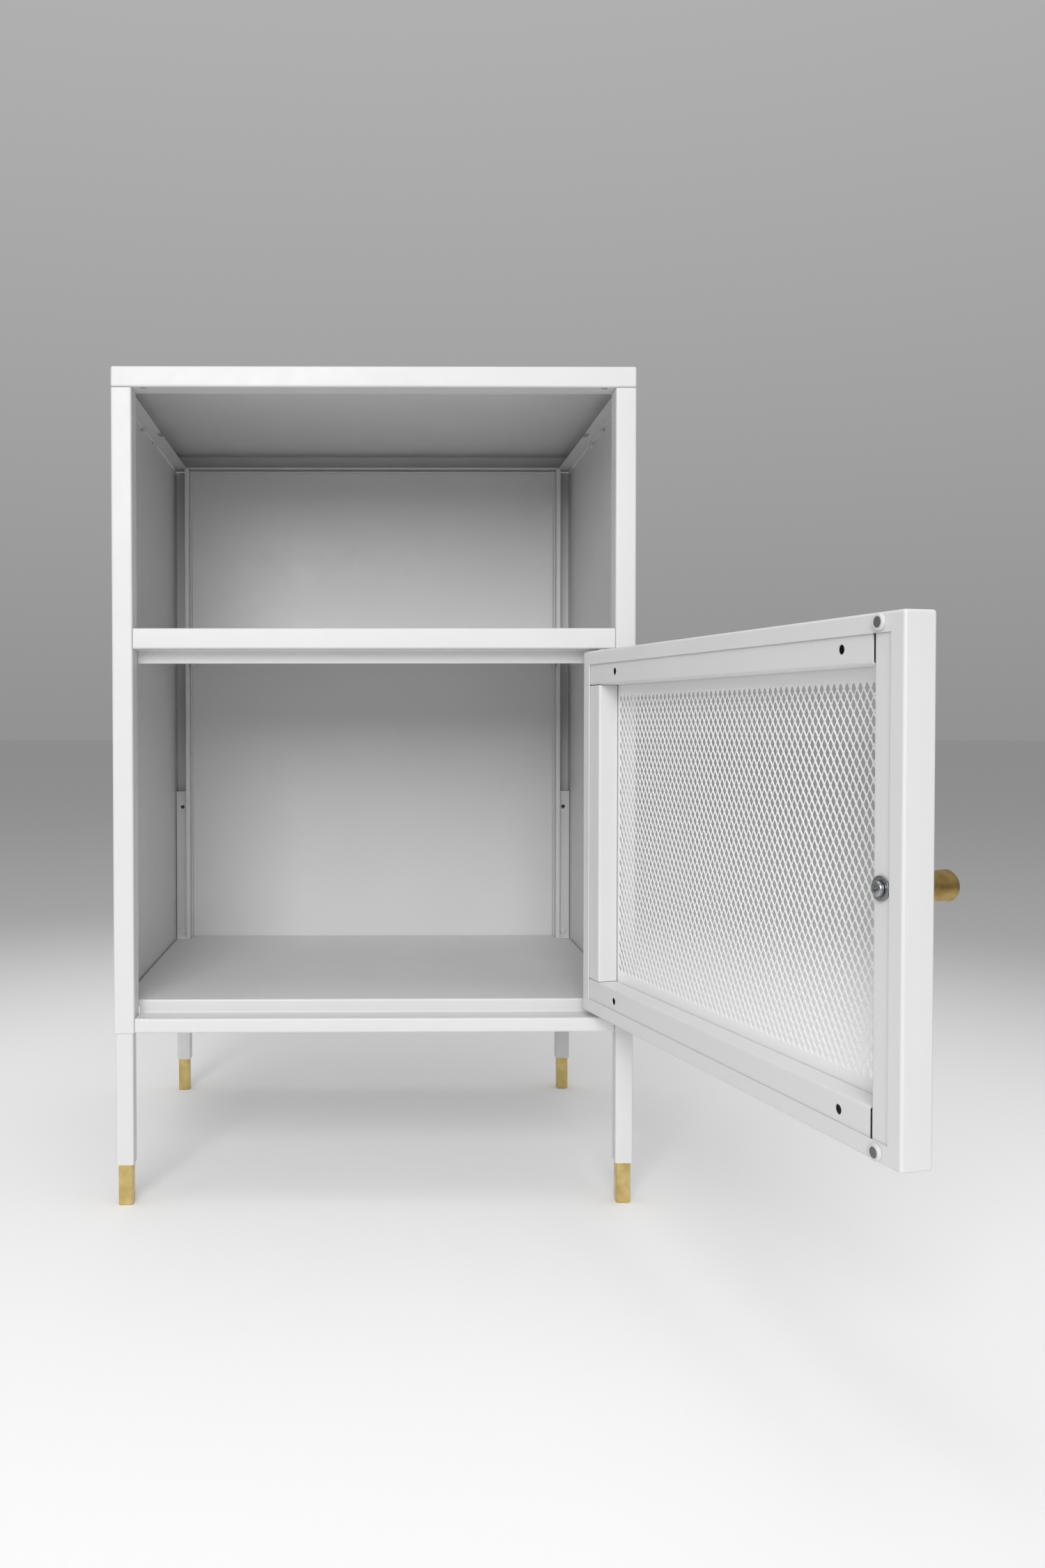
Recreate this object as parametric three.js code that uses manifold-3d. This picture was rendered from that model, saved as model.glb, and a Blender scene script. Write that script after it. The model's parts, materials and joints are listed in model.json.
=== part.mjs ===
// White sheet-steel locker cabinet on four legs, with an open compartment above and a
// mesh door below. Millimetres, +Z up, +Y to the back, +X to the right seen from the front.
// The cabinet is laid out with X = 0 in the middle, Y = 0 at the front face and Z = 0 on the
// floor; the last lines move it so that the origin is under the front left foot.
import * as THREE from "three";
import { mergeVertices } from "three/addons/utils/BufferGeometryUtils.js";
import Module from "manifold-3d";

const wasm = await Module();
wasm.setup();

// ---------------------------------------------------------------- driving dimensions
const WIDTH = 380;
const DEPTH = 300;
const HEIGHT = 610;
const BODY_BOTTOM = 127; // underside of the sheet body
const SHEET = 0.8; // all folded panels
const BEND = 1.2; // middle radius of a fold
const POST_DEPTH = 19; // how far a post's return goes back
const POST_LIP = 3.6; // last fold of a post
const GAP = 0.3; // between neighbouring pieces
const SLIDE_GAP = 0.35; // round a tube in its channel
const BOARD_GAP = 0.8; // between the boards and the side panels

const SHELF_TOP = 421.5;
const STEP = 9.6; // height of the door stops above the ledge and below the shelf rail
const RAIL = 10.6; // face of the front rail under the door

const LEG = 12.7;
const LEG_WALL = 0.9;
const LEG_CORNER = 1.2;
const LEG_TOP = 288;
const LEG_HOLE_DOWN = 15; // spare screw hole, below the top of the tube
const LEG_HOLE_R = 1.8;
const FOOT_SHOW = 30; // brass foot below the leg tube
const FOOT_IN_TUBE = 22;
const FOOT_WALL = 1;
const FOOT_CHAMFER = 0.6;
const RIVET_R = 3;
const RIVET_HEIGHT = 1.1;
const RIVET_SHANK_R = 1.5;
const RIVET_LENGTH = 2.5;
const RIVET_UP = 6; // above the floor panel

const TOP_SIDE_LIP = 12.5; // the lips along the top panel's sides
const TAB = 14; // hook tabs on top of the side panels
const TAB_IN = 1.6;
const TAB_RISE = 6;
const TAB_FOOT = 4;
const TAB_PLACES = [0.42, 0.58, 0.94]; // along the depth
const NOTCH = 15; // cut in the top's side lips
const NOTCH_DEEP = 4;
const NOTCH_PLACE = 0.495; // along the depth

const BACK_FLANGE = 12;
const BACK_TOP_GAP = 1.6;
const BODY_SCREW_R = 1.75;
const BODY_SCREW_HEAD_R = 3.3;
const BODY_SCREW_HEAD = 1.5;
const BODY_SCREW_LENGTH = 4.8;

const DOOR_THICK = 17.8;
const DOOR_TOP_GAP = 2;
const DOOR_BOTTOM_GAP = 4.6;
const DOOR_LIP = 9.8; // return folded over the door's inner face
const CHANNEL = 24.7; // inner channels, measured from the door's edge
const CHANNEL_FREE = 23; // the same on the edge that carries the knob
const CHANNEL_SLIT = 1.2;
const MESH_THICK = 1.2;
const MESH_OVERLAP = 4;
const BAR_HOLE_R = 2.6;
const BAR_HOLE_PITCH = 250;
const BAR_HOLE_IN = 16.1; // from the door's top or bottom edge
const DOOR_OPEN = 105; // degrees open as built

const PIVOT_IN = 6; // from the door's hinge edge
const PIVOT_BACK = 4.5; // from the door's outer face
const PIN_R = 2;
const PIN_HOLE_R = 2.3;
const PIN_HEAD_R = 3.1;
const PIN_HEAD = 1.6;
const PIN_REACH = 9; // how far a pin goes into the door
const BUSH_WALL = 1.1;
const BUSH_COLLAR = 0.75; // how far a bush's collar stands out past its sleeve
const BUSH_SLEEVE = 3; // length inside the door

const KNOB_LENGTH = 23;
const KNOB_WIDEST = 20; // distance of the widest ring from the door
const KNOB_BASE_R = 6.9;
const KNOB_R = 8;
const KNOB_SHOULDER_R = 6.6;
const KNOB_SHOULDER = 1; // from the knob's end back to its shoulder
const KNOB_END_R = 4;
const KNOB_BORE = 10;
const SCREW_R = 2;
const SCREW_HEAD_R = 3.9;
const SCREW_HEAD = 2.6;
const WASHER_R = 6.2;
const WASHER = 1;
const MAGNET_IN = 17.5; // from the door's free edge
const MAGNET_EDGE = 4.9; // from the door's top or bottom edge
const MAGNET_PROUD = 2;
const MAGNET_R = 2.6;
const CUP_R = 4.35;
const CUP_TOP_R = 3.8;
const CUP_STEM_R = 1.6;
const STOP_GAP = 0.3; // between a magnet and the stop it closes on

// Outlines of heads, each point a share of the head's radius and of its height.
const PAN_HEAD = [[1, 0.4], [0.75, 0.85], [0.35, 1]];
const LOW_HEAD = [[1, 0.5], [0.75, 1]];
const RIVET_HEAD = [[0.9, 0.6], [0.55, 1]];

const FOLD_STEPS = 3;
const ROUND = 20; // sides of a turned piece

// The outline of a head, from points given as shares of its radius and height.
const headOutline = (shares, radius, height) => shares.map(([r, h]) => [r * radius, h * height]);

// ---------------------------------------------------------------- derived sizes
const flange = LEG + 2 * SHEET + 2 * SLIDE_GAP; // face of the posts, the top and the shelf
const half = WIDTH / 2;
const mid = SHEET / 2; // from a sheet's face to the middle of its thickness
const webIn = half - SHEET; // inner face of a side panel
const postIn = half - flange; // inner edge of a post
const bodyTop = HEIGHT - flange; // underside of the top panel's lips
const ledgeTop = BODY_BOTTOM + RAIL;
const floorTop = ledgeTop + STEP;
const shelfLip = SHELF_TOP - flange; // underside of the shelf's front rail
const stopY = DOOR_THICK + MAGNET_PROUD + STOP_GAP; // front of both door stops
const boardHalf = webIn - BOARD_GAP; // shelf and floor between the side panels
const tongueHalf = postIn - GAP; // shelf and floor between the posts
const rearTongueHalf = tongueHalf - SHEET - GAP; // and inside the back panel's flanges
const rearTongueEnd = DEPTH - SHEET - GAP;
const rearPostY = DEPTH - POST_DEPTH;
const backPanelLow = BODY_BOTTOM + GAP;
const legX = half - SHEET - SLIDE_GAP - LEG / 2;
const legY = SHEET + SLIDE_GAP + LEG / 2;
const footSize = LEG - 2 * LEG_WALL - 2 * GAP;
const rivetZ = floorTop + RIVET_UP;
const swing = Math.hypot(PIVOT_IN, PIVOT_BACK); // reach of the door's outer hinge corner
const doorWidth = 2 * (postIn + PIVOT_IN - swing - GAP);
const doorBottom = ledgeTop + DOOR_BOTTOM_GAP;
const doorHeight = shelfLip - DOOR_TOP_GAP - doorBottom;
const pivotX = doorWidth / 2 - PIVOT_IN;
const webOuter = DOOR_THICK - SHEET - GAP; // inner channels, just under the door's lips
const meshLevel = SHEET + GAP;
const wallLevel = meshLevel + MESH_THICK + GAP; // where the channels' walls stop
const knobIn = DOOR_LIP + WASHER_R + GAP; // from the door's free edge
const screwHoleR = SCREW_R + GAP;
const bushR = PIN_HOLE_R + BUSH_WALL;

// ---------------------------------------------------------------- solids
// A closed geometry as a solid, turned right side out if it was built inside out.
function solidOf(geometry) {
  const bare = geometry.index ? geometry.toNonIndexed() : geometry.clone();
  bare.deleteAttribute("normal");
  bare.deleteAttribute("uv");
  const merged = mergeVertices(bare, 1e-4);
  const vertProperties = new Float32Array(merged.attributes.position.array);
  const triVerts = new Uint32Array(merged.index.array);
  const corner = (i) => new THREE.Vector3().fromArray(vertProperties, 3 * triVerts[i]);
  let volume = 0;
  for (let i = 0; i < triVerts.length; i += 3) {
    volume += corner(i).dot(corner(i + 1).cross(corner(i + 2)));
  }
  if (volume < 0) {
    triVerts.reverse();
  }
  return new wasm.Manifold(new wasm.Mesh({ numProp: 3, vertProperties, triVerts }));
}

function geometryOf(solid) {
  const mesh = solid.getMesh();
  const geometry = new THREE.BufferGeometry();
  geometry.setAttribute("position", new THREE.BufferAttribute(mesh.vertProperties, 3));
  geometry.setIndex(new THREE.BufferAttribute(mesh.triVerts, 1));
  const flat = geometry.toNonIndexed();
  flat.computeVertexNormals();
  return flat;
}

// A box between two opposite corners.
function block(a, b) {
  const size = a.map((value, i) => Math.abs(value - b[i]));
  const middle = a.map((value, i) => (value + b[i]) / 2);
  return solidOf(new THREE.BoxGeometry(...size).translate(...middle));
}

// A solid of the right-hand side (sign 1) or its mirror image on the left (sign -1).
function onSide(sign, solid) {
  return sign > 0 ? solid : solid.mirror([1, 0, 0]);
}

const LIE_ALONG = {
  x: new THREE.Matrix4().makeRotationZ(-Math.PI / 2),
  y: new THREE.Matrix4(),
  z: new THREE.Matrix4().makeRotationX(Math.PI / 2),
};

// A turned piece. Its profile is [radius, distance] pairs, with the distance measured along
// the axis from its place; flip measures it the other way.
function turned(profile, axis, place, flip = false) {
  const points = profile.map(([radius, along]) => new THREE.Vector2(radius, flip ? -along : along));
  const geometry = new THREE.LatheGeometry(points, ROUND);
  return solidOf(geometry.applyMatrix4(LIE_ALONG[axis]).translate(...place));
}

// A plain round bar between two distances along an axis, for pins and for cutting holes.
function bar(radius, axis, from, to, place) {
  return turned([[0, from], [radius, from], [radius, to], [0, to]], axis, place);
}

// The outline of a folded sheet: the path is its middle line, with an arc at each fold.
// The first half of the outline runs along the left of the path, the second comes back.
function foldedOutline(path) {
  const points = path.map(([a, b]) => new THREE.Vector2(a, b));
  const samples = [];
  const put = (point, angle) => {
    const normal = new THREE.Vector2(-Math.sin(angle), Math.cos(angle));
    samples.push({ point, normal });
  };
  const heading = (i) => points[i + 1].clone().sub(points[i]).angle();
  put(points[0], heading(0));
  for (let i = 1; i < points.length - 1; i++) {
    const before = heading(i - 1);
    const turn = THREE.MathUtils.euclideanModulo(heading(i) - before + Math.PI, 2 * Math.PI) - Math.PI;
    const back = BEND * Math.tan(Math.abs(turn) / 2);
    const toStart = new THREE.Vector2(-back * Math.cos(before), -back * Math.sin(before));
    const start = points[i].clone().add(toStart);
    const toCentre = new THREE.Vector2(-Math.sin(before), Math.cos(before));
    const centre = start.clone().addScaledVector(toCentre, Math.sign(turn) * BEND);
    for (let k = 0; k <= FOLD_STEPS; k++) {
      const part = (turn * k) / FOLD_STEPS;
      put(start.clone().rotateAround(centre, part), before + part);
    }
  }
  put(points[points.length - 1], heading(points.length - 2));
  const edge = (sign) => samples.map(({ point, normal }) =>
    point.clone().addScaledVector(normal, (sign * SHEET) / 2));
  return [...edge(1), ...edge(-1).reverse()];
}

// An outline carried along an axis. It is drawn in Y and Z for axis x, in X and Z for
// axis y, and in X and Y for axis z.
function extruded(shape, axis, from, to) {
  const geometry = new THREE.ExtrudeGeometry(shape, { depth: to - from, bevelEnabled: false });
  const [x, y, z] = [[1, 0, 0], [0, 1, 0], [0, 0, 1]].map((v) => new THREE.Vector3(...v));
  const basis = new THREE.Matrix4();
  if (axis === "x") {
    geometry.applyMatrix4(basis.makeBasis(y, z, x)).translate(from, 0, 0);
  } else if (axis === "y") {
    geometry.applyMatrix4(basis.makeBasis(x, z, y.clone().negate())).translate(0, to, 0);
  } else {
    geometry.translate(0, 0, from);
  }
  return solidOf(geometry);
}

function folded(path, axis, from, to) {
  return extruded(new THREE.Shape(foldedOutline(path)), axis, from, to);
}

// A rectangle with rounded corners, as points anticlockwise seen from above.
function roundedLoop(halfX, halfY, radius) {
  const corners = [[1, 1], [-1, 1], [-1, -1], [1, -1]];
  const steps = Array.from({ length: FOLD_STEPS + 1 }, (_, k) => k / FOLD_STEPS);
  return corners.flatMap(([sx, sy], quarter) => steps.map((step) => {
    const angle = (quarter + step) * (Math.PI / 2);
    const [a, b] = [radius * Math.cos(angle), radius * Math.sin(angle)];
    return [sx * (halfX - radius) + a, sy * (halfY - radius) + b];
  }));
}

// A shell of rectangular loops, closed by a cap at each end. Each profile entry is
// [distance in from the edge, height]; the first cap looks up and the last one down.
function rectangularShell(halfX, halfY, profile, corner) {
  const smallest = 0.25;
  const loops = profile.map(([inset, height]) => {
    const radius = Math.max(corner - inset, smallest);
    return roundedLoop(halfX - inset, halfY - inset, radius).map(([a, b]) => [a, b, height]);
  });
  const count = loops[0].length;
  const positions = loops.flat(2);
  const lastLoop = (loops.length - 1) * count;
  const firstCentre = loops.length * count;
  positions.push(0, 0, profile[0][1], 0, 0, profile[profile.length - 1][1]);
  const index = [];
  for (let j = 0; j < count; j++) {
    const next = (j + 1) % count;
    index.push(firstCentre, j, next, firstCentre + 1, lastLoop + next, lastLoop + j);
    for (let low = 0; low < lastLoop; low += count) {
      const high = low + count;
      index.push(low + j, high + j, high + next, low + j, high + next, low + next);
    }
  }
  const geometry = new THREE.BufferGeometry();
  geometry.setAttribute("position", new THREE.Float32BufferAttribute(positions, 3));
  geometry.setIndex(index);
  return geometry;
}

// A sheet pan that opens downwards from a plate at height 0: flanges go down on all four
// sides, and with a lip they turn in again at the bottom.
function panGeometry(halfX, halfY, depth, lip) {
  const start = Math.min(halfX, halfY) / 2;
  const path = [[start, -mid], [mid, -mid]];
  if (lip > 0) {
    path.push([mid, mid - depth], [lip, mid - depth]);
  } else {
    path.push([mid, -depth]);
  }
  const outline = foldedOutline(path).map((point) => [point.x, point.y]);
  const inner = outline.slice(0, outline.length / 2);
  const outer = outline.slice(outline.length / 2);
  return rectangularShell(halfX, halfY, [...outer.reverse(), ...inner.reverse()], BEND + mid);
}

const WHITE = { color: 0xf0f0ef, roughness: 0.42, metalness: 0 };
const BRASS = { color: 0xb08a3c, roughness: 0.32, metalness: 1 };
const ZINC = { color: 0xa9adb0, roughness: 0.38, metalness: 1 };
const NYLON = { color: 0xe6e5e0, roughness: 0.5, metalness: 0 };
const FERRITE = { color: 0x4c4d50, roughness: 0.55, metalness: 0.2 };
const SIDES = [["left", -1], ["right", 1]];
const ENDS = ["front", "rear"];

const cabinet = new THREE.Group();
const door = new THREE.Group();

function add(group, name, solid, look) {
  const mesh = new THREE.Mesh(geometryOf(solid), new THREE.MeshStandardMaterial(look));
  mesh.name = name;
  group.add(mesh);
}

// ---------------------------------------------------------------- body screws
// The shelf and the floor are screwed to the returns of the four posts from inside. The
// floor's screws reach on into the leg tubes, and the rear ones also hold the back panel.
const screwLevels = { shelf: SHELF_TOP - flange / 2, floor: BODY_BOTTOM + RAIL / 2 };
const screwRows = { front: POST_DEPTH / 2, rear: DEPTH - POST_DEPTH / 2 };
const screwSeats = { front: tongueHalf - SHEET - GAP / 2, rear: rearTongueHalf - SHEET - GAP / 2 };

const bodyScrewProfile = [
  [0, BODY_SCREW_LENGTH], [BODY_SCREW_R, BODY_SCREW_LENGTH], [BODY_SCREW_R, 0], [BODY_SCREW_HEAD_R, 0],
  ...headOutline(LOW_HEAD, BODY_SCREW_HEAD_R, -BODY_SCREW_HEAD), [0, -BODY_SCREW_HEAD],
];

function forEachBodyScrew(use) {
  for (const end of ENDS) {
    for (const [board, z] of Object.entries(screwLevels)) {
      use({ end, board, y: screwRows[end], z, seat: screwSeats[end] });
    }
  }
}

// The screws' clearance holes on one side, through everything they hold together.
function cutBodyScrews(solid, sides = SIDES) {
  let result = solid;
  for (const [, sign] of sides) {
    forEachBodyScrew(({ y, z, seat }) => {
      const hole = bar(BODY_SCREW_R + GAP, "x", seat - GAP, seat + BODY_SCREW_LENGTH + GAP, [0, y, z]);
      result = result.subtract(onSide(sign, hole));
    });
  }
  return result;
}

for (const [side, sign] of SIDES) {
  forEachBodyScrew(({ end, board, y, z, seat }) => {
    const screw = onSide(sign, turned(bodyScrewProfile, "x", [seat, y, z]));
    add(cabinet, `${board}_screw_${end}_${side}`, screw, ZINC);
  });
}

// ---------------------------------------------------------------- side panels
// One folded sheet: front post, web and rear post, with hook tabs on the top edge.
function sidePanel(sign) {
  const [postFace, postEnd] = [postIn + mid, POST_DEPTH - mid];
  const frontPost = [[postIn + POST_LIP, postEnd], [postFace, postEnd], [postFace, mid]];
  const rearPost = frontPost.map(([x, y]) => [x, DEPTH - y]).reverse();
  const path = [...frontPost, [half - mid, mid], [half - mid, DEPTH - mid], ...rearPost];
  let panel = folded(path, "z", BODY_BOTTOM, bodyTop - GAP);
  const [tabIn, tabOut] = [webIn - TAB_IN, webIn - TAB_IN + SHEET];
  const low = bodyTop - TAB_FOOT;
  for (const place of TAB_PLACES) {
    const [front, back] = [place * DEPTH - TAB / 2, place * DEPTH + TAB / 2];
    panel = panel.add(block([tabIn, front, low], [tabOut, back, bodyTop + TAB_RISE]));
    panel = panel.add(block([tabIn, front, low], [webIn + mid, back, low + SHEET]));
  }
  return onSide(sign, cutBodyScrews(panel, [["right", 1]]));
}

for (const [side, sign] of SIDES) {
  add(cabinet, `side_panel_${side}`, sidePanel(sign), WHITE);
}

// ---------------------------------------------------------------- top panel
function topPanel() {
  const shell = panGeometry(half, DEPTH / 2, flange, POST_DEPTH);
  let panel = solidOf(shell.translate(0, DEPTH / 2, HEIGHT));
  const [under, over] = [bodyTop - GAP, bodyTop + SHEET + GAP];
  const lipIn = half - TOP_SIDE_LIP;
  for (const [, sign] of SIDES) {
    const cut = (low, high) => {
      panel = panel.subtract(onSide(sign, block([...low, under], [...high, over])));
    };
    cut([half - POST_DEPTH - GAP, POST_DEPTH], [lipIn, DEPTH - POST_DEPTH]);
    const notch = NOTCH_PLACE * DEPTH;
    cut([lipIn - GAP, notch - NOTCH / 2], [lipIn + NOTCH_DEEP, notch + NOTCH / 2]);
    for (const place of TAB_PLACES) {
      const reach = TAB / 2 + GAP;
      const slot = webIn - TAB_IN;
      cut([slot - GAP, place * DEPTH - reach], [slot + SHEET + GAP, place * DEPTH + reach]);
    }
    panel = panel.subtract(bar(PIN_HOLE_R, "z", under, over, [sign * pivotX, PIVOT_BACK, 0]));
  }
  return panel;
}

add(cabinet, "top_panel", topPanel(), WHITE);

// ---------------------------------------------------------------- back panel
// A pan that opens forwards, between the two rear posts.
function backPanel() {
  const high = bodyTop - BACK_TOP_GAP;
  const shell = panGeometry(tongueHalf, (high - backPanelLow) / 2, BACK_FLANGE, 0);
  shell.rotateX(-Math.PI / 2).translate(0, DEPTH, (high + backPanelLow) / 2);
  return cutBodyScrews(solidOf(shell));
}

add(cabinet, "back_panel", backPanel(), WHITE);

// ---------------------------------------------------------------- shelf and floor
// Each is a plate between the side panels with side flanges, a narrower tongue between the
// rear posts with a flange and end cheeks, and a folded rail between the front posts.
function board(top, drop, rail, railLow, railHigh) {
  const z = top - mid;
  const rearStart = rearPostY - GAP;
  const rearLow = Math.max(top - drop, backPanelLow + SHEET + GAP);
  const sides = [[-boardHalf + mid, top - drop], [-boardHalf + mid, z], [boardHalf - mid, z],
    [boardHalf - mid, top - drop]];
  const rear = [[DEPTH / 2, z], [rearTongueEnd - mid, z], [rearTongueEnd - mid, rearLow]];
  let panel = folded(sides, "y", stopY + mid, rearStart);
  panel = panel.add(folded(rear, "x", -rearTongueHalf, rearTongueHalf));
  panel = panel.add(folded([[DEPTH / 2, z], ...rail], "x", -tongueHalf, tongueHalf));
  for (const [, sign] of SIDES) {
    const rearCheek = block([rearTongueHalf - SHEET, rearStart - SHEET, rearLow],
      [rearTongueHalf, rearTongueEnd - mid, z]);
    const frontCheek = block([tongueHalf - SHEET, mid, railLow], [tongueHalf, stopY + mid, railHigh]);
    panel = panel.add(onSide(sign, rearCheek)).add(onSide(sign, frontCheek));
  }
  return cutBodyScrews(panel);
}

function cutPinHoles(panel, z) {
  let result = panel;
  for (const [, sign] of SIDES) {
    result = result.subtract(bar(PIN_HOLE_R, "z", -SHEET, SHEET, [sign * pivotX, PIVOT_BACK, z]));
  }
  return result;
}

// The shelf's rail turns down, back and down again into the upper door stop.
function shelf() {
  const [high, low, stop] = [SHELF_TOP - mid, shelfLip + mid, stopY + mid];
  const rail = [[mid, high], [mid, low], [stop, low], [stop, shelfLip - STEP]];
  return cutPinHoles(board(SHELF_TOP, flange, rail, low, high), low);
}

// The floor steps down to the ledge under the door, and its rail turns back underneath.
function bottomPanel() {
  const [ledge, low, stop] = [ledgeTop - mid, BODY_BOTTOM + mid, stopY + mid];
  const rail = [[stop, floorTop - mid], [stop, ledge], [mid, ledge], [mid, low], [stop, low]];
  return cutPinHoles(board(floorTop, floorTop - BODY_BOTTOM, rail, low, ledge), ledge);
}

add(cabinet, "shelf", shelf(), WHITE);
add(cabinet, "bottom_panel", bottomPanel(), WHITE);

// ---------------------------------------------------------------- legs and feet
function squareOutline(size, radius) {
  return roundedLoop(size / 2, size / 2, radius).map(([a, b]) => new THREE.Vector2(a, b));
}

// A square tube that stands in a post, with a spare screw hole and a rivet in its inner face.
function legTube() {
  const shape = new THREE.Shape(squareOutline(LEG, LEG_CORNER));
  shape.holes.push(new THREE.Path(squareOutline(LEG - 2 * LEG_WALL, LEG_CORNER / 2)));
  const through = [-LEG / 2 - GAP, -LEG / 2 + LEG_WALL + GAP];
  return extruded(shape, "z", FOOT_SHOW, LEG_TOP)
    .subtract(bar(LEG_HOLE_R, "y", ...through, [0, 0, LEG_TOP - LEG_HOLE_DOWN]))
    .subtract(bar(RIVET_SHANK_R + GAP, "y", ...through, [0, 0, rivetZ]));
}

// The brass foot is a square cup that goes up into the tube.
function brassFoot() {
  const top = FOOT_SHOW + FOOT_IN_TUBE;
  const inside = [[FOOT_WALL, 2 * FOOT_WALL], [FOOT_WALL, top]];
  const profile = [...inside, [0, top], [0, FOOT_CHAMFER], [FOOT_CHAMFER, 0]];
  return solidOf(rectangularShell(footSize / 2, footSize / 2, profile, LEG_CORNER));
}

const rivetProfile = [
  [0, -RIVET_LENGTH], [RIVET_SHANK_R, -RIVET_LENGTH], [RIVET_SHANK_R, 0], [RIVET_R, 0],
  ...headOutline(RIVET_HEAD, RIVET_R, RIVET_HEIGHT), [0, RIVET_HEIGHT],
];

for (const end of ENDS) {
  for (const [side, sign] of SIDES) {
    const place = [sign * legX, end === "rear" ? DEPTH - legY : legY, 0];
    const facing = end === "rear" ? legTube() : legTube().mirror([0, 1, 0]);
    const leg = cutBodyScrews(facing.translate(place), [[side, sign]]);
    add(cabinet, `leg_${end}_${side}`, leg, WHITE);
    add(cabinet, `foot_${end}_${side}`, brassFoot().translate(place), BRASS);
    const inward = end === "rear" ? -1 : 1;
    const seat = place[1] + inward * (LEG / 2 + GAP / 2);
    const rivet = turned(rivetProfile, "y", [place[0], seat, rivetZ], inward < 0);
    add(cabinet, `leg_rivet_${end}_${side}`, rivet, WHITE);
  }
}

// ---------------------------------------------------------------- hinge pins
// The pins are fixed in the ledge and in the shelf's rail, with their heads on the hidden side.
const pinProfile = (reach) => [
  [0, -SHEET - GAP / 2 - PIN_HEAD], [PIN_HEAD_R, -SHEET - GAP / 2 - PIN_HEAD],
  [PIN_HEAD_R, -SHEET - GAP / 2], [PIN_R, -SHEET - GAP / 2], [PIN_R, reach - PIN_R / 2],
  [PIN_R / 2, reach], [0, reach],
];
const pivotPlace = (z) => [pivotX, PIVOT_BACK, z];
const lowerPin = turned(pinProfile(DOOR_BOTTOM_GAP + PIN_REACH), "z", pivotPlace(ledgeTop));
const upperPin = turned(pinProfile(DOOR_TOP_GAP + PIN_REACH), "z", pivotPlace(shelfLip), true);
add(cabinet, "hinge_pin_bottom", lowerPin, ZINC);
add(cabinet, "hinge_pin_top", upperPin, ZINC);

// ---------------------------------------------------------------- door
// The door is laid out on its own: X runs from the hinge edge (0) to the free edge, Y from
// the outer face (0) inwards, and Z up from its bottom edge. A group turns it about the pivot.
const freeEdge = -doorWidth;
const doorMiddle = doorHeight / 2;

function doorPan() {
  const shell = panGeometry(doorWidth / 2, doorHeight / 2, DOOR_THICK, DOOR_LIP);
  shell.rotateX(Math.PI / 2).translate(-doorWidth / 2, 0, doorMiddle);
  const window = block([freeEdge + CHANNEL_FREE, -GAP, CHANNEL], [-CHANNEL, meshLevel, doorHeight - CHANNEL]);
  let pan = solidOf(shell).subtract(window);
  pan = pan.subtract(bar(screwHoleR, "y", -GAP, meshLevel, [freeEdge + knobIn, 0, doorMiddle]));
  for (const z of [0, doorHeight]) {
    pan = pan.subtract(bar(bushR + GAP, "z", z - 2 * SHEET, z + 2 * SHEET, [-PIVOT_IN, PIVOT_BACK, 0]));
    const edge = z > 0 ? z - MAGNET_EDGE : MAGNET_EDGE;
    const through = [DOOR_THICK - SHEET - GAP, DOOR_THICK + GAP];
    pan = pan.subtract(bar(CUP_STEM_R + GAP, "y", ...through, [freeEdge + MAGNET_IN, 0, edge]));
  }
  return pan;
}

add(door, "door_pan", doorPan(), WHITE);

// The mesh panel is drawn here as a plain slab of its outer size.
function doorMesh() {
  const [edge, freeSide] = [CHANNEL - MESH_OVERLAP, CHANNEL_FREE - MESH_OVERLAP];
  return block([freeEdge + freeSide, meshLevel, edge], [-edge, meshLevel + MESH_THICK, doorHeight - edge]);
}

add(door, "door_mesh", doorMesh(), WHITE);

// Each inner channel has a web just under the door's lips and a wall down to the mesh. The
// path is drawn as [distance from the door's edge, depth].
const underLip = SHEET + GAP + mid;
const channelPath = (width) => [
  [underLip, webOuter - mid], [width - mid, webOuter - mid], [width - mid, wallLevel],
];
const barEnd = freeEdge + CHANNEL_FREE + CHANNEL_SLIT;

function crossBar(atTop) {
  const path = channelPath(CHANNEL).map(([inset, depth]) => [depth, atTop ? doorHeight - inset : inset]);
  let cross = folded(path, "x", barEnd, -underLip);
  const z = atTop ? doorHeight - BAR_HOLE_IN : BAR_HOLE_IN;
  for (const side of [-1, 1]) {
    const x = -doorWidth / 2 + (side * BAR_HOLE_PITCH) / 2;
    cross = cross.subtract(bar(BAR_HOLE_R, "y", webOuter - SHEET - GAP, webOuter + GAP, [x, 0, z]));
  }
  return cross;
}

function freeChannel() {
  const path = channelPath(CHANNEL_FREE).map(([inset, depth]) => [freeEdge + inset, depth]);
  let strip = folded(path, "z", underLip, doorHeight - underLip);
  const through = [webOuter - SHEET - GAP, webOuter + GAP];
  const holes = [[knobIn, doorMiddle, screwHoleR], [MAGNET_IN, MAGNET_EDGE, CUP_STEM_R + GAP],
    [MAGNET_IN, doorHeight - MAGNET_EDGE, CUP_STEM_R + GAP]];
  for (const [inset, z, radius] of holes) {
    strip = strip.subtract(bar(radius, "y", ...through, [freeEdge + inset, 0, z]));
  }
  return strip;
}

function hingeChannel() {
  const path = channelPath(CHANNEL).map(([inset, depth]) => [-inset, depth]);
  return folded(path, "z", CHANNEL + GAP, doorHeight - CHANNEL - GAP);
}

add(door, "door_channel_top", crossBar(true), WHITE);
add(door, "door_channel_bottom", crossBar(false), WHITE);
add(door, "door_channel_free", freeChannel(), WHITE);
add(door, "door_channel_hinge", hingeChannel(), WHITE);

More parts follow.
